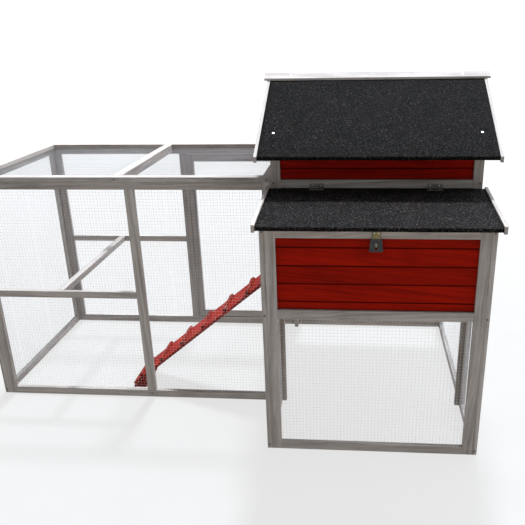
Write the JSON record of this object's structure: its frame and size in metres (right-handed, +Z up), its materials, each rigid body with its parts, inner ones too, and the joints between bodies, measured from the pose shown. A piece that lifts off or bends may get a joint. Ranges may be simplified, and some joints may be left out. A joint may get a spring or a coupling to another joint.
{
  "type": "chicken coop",
  "caption": "Raised timber hen house with a lidded nest box, a felt pitched roof and a wire run with a ramp, on a timber frame.",
  "frame": {"origin": "centre of the footprint at ground level", "axes": "+X along the coop from the run towards the hen house, +Y from the nest box at the front towards the back, +Z up"},
  "size_m": [2.062, 1.297, 1.3054],
  "materials": {
    "white_timber": "matte",
    "red_board": "satin",
    "red_ramp": "matte",
    "bare_timber": "matte",
    "plywood": "matte",
    "roof_felt": "matte",
    "wire_mesh": "satin",
    "zinc_steel": "satin",
    "bronzed_steel": "satin"
  },
  "bodies": {
    "coop": {"bolt_keepers": "zinc_steel", "floor_bearers": "bare_timber", "floor_panels": "plywood", "frame_screws": "zinc_steel", "hasp_staple": "zinc_steel", "hinge_leaves_fixed": "zinc_steel", "hinge_pins": "zinc_steel", "house_front_boards": "red_board", "house_front_frame": "white_timber", "house_left_boards": "red_board", "house_left_frame": "white_timber", "house_rear_boards": "red_board", "house_rear_frame": "white_timber", "house_right_boards": "red_board", "house_right_frame": "white_timber", "nest_dividers": "bare_timber", "nest_front_boards": "red_board", "nest_front_frame": "white_timber", "nest_side_boards": "red_board", "nest_side_frames": "white_timber", "pen_front_mesh": "wire_mesh", "pen_meshes": "wire_mesh", "pop_door_guides": "bare_timber", "ridge_beam": "bare_timber", "ridge_cap": "white_timber", "roof_edge_strips": "white_timber", "roof_felts": "roof_felt", "roof_panels": "plywood", "roost_bars": "bare_timber", "run_end_frame": "white_timber", "run_front_frame": "white_timber", "run_perch": "white_timber", "run_rear_frame": "white_timber", "run_top_frame": "white_timber", "run_top_meshes": "wire_mesh", "run_wall_meshes": "wire_mesh"},
    "nest_lid": {"lid_panel": "plywood", "lid_felt": "roof_felt", "lid_edge_strips": "white_timber", "lid_battens": "bare_timber", "lid_hinge_leaves": "zinc_steel", "hasp_hinge": "bronzed_steel"},
    "hasp": {"hasp_tongue": "bronzed_steel"},
    "ramp": {"ramp_board": "red_ramp", "ramp_cleats": "red_ramp", "ramp_hinge_leaves": "zinc_steel"},
    "pop_door": {"pop_door": "bare_timber"},
    "tray": {"tray": "zinc_steel", "tray_front": "red_board", "tray_handle": "zinc_steel"},
    "run_door": {"run_door_frame": "white_timber", "run_door_mesh": "wire_mesh", "run_door_hinge_leaves": "zinc_steel", "run_door_bolt_case": "zinc_steel"},
    "run_bolt": {"run_door_bolt": "zinc_steel"},
    "side_door": {"side_door_frame": "white_timber", "side_door_boards": "red_board", "side_door_hinge_leaves": "zinc_steel", "side_door_bolt_case": "zinc_steel"},
    "side_bolt": {"side_door_bolt": "zinc_steel"}
  },
  "joints": [
    {"name": "lid_hinge", "type": "hinge", "parent": "coop", "child": "nest_lid", "pos_m": [0.579, -0.253, 0.92416], "axis": [-1, 0, 0], "range_deg": [0, 54]},
    {"name": "hasp_hinge", "type": "hinge", "parent": "nest_lid", "child": "hasp", "pos_m": [0.578, -0.6065, 0.86993], "axis": [-1, 0, 0], "range_deg": [0, 80]},
    {"name": "ramp_hinge", "type": "hinge", "parent": "coop", "child": "ramp", "pos_m": [0.1855, -0.0845, 0.56035], "axis": [0, 1, 0], "range_deg": [0, 60]},
    {"name": "pop_door_slide", "type": "slide", "parent": "coop", "child": "pop_door", "axis": [0, -1, 0], "range_m": [0, 0.185]},
    {"name": "tray_slide", "type": "slide", "parent": "coop", "child": "tray", "axis": [1, 0, 0], "range_m": [0, 0.62]},
    {"name": "run_door_hinge", "type": "hinge", "parent": "coop", "child": "run_door", "pos_m": [-0.33375, 0.566, 0.47], "axis": [0, 0, 1], "range_deg": [0, 165]},
    {"name": "run_bolt_slide", "type": "slide", "parent": "run_door", "child": "run_bolt", "axis": [1, 0, 0], "range_m": [0, 0.02]},
    {"name": "side_door_hinge", "type": "hinge", "parent": "coop", "child": "side_door", "pos_m": [0.9725, 0.183, 0.79], "axis": [0, 0, 1], "range_deg": [0, 165]},
    {"name": "side_bolt_slide", "type": "slide", "parent": "side_door", "child": "side_bolt", "axis": [0, -1, 0], "range_m": [0, 0.02]}
  ]
}
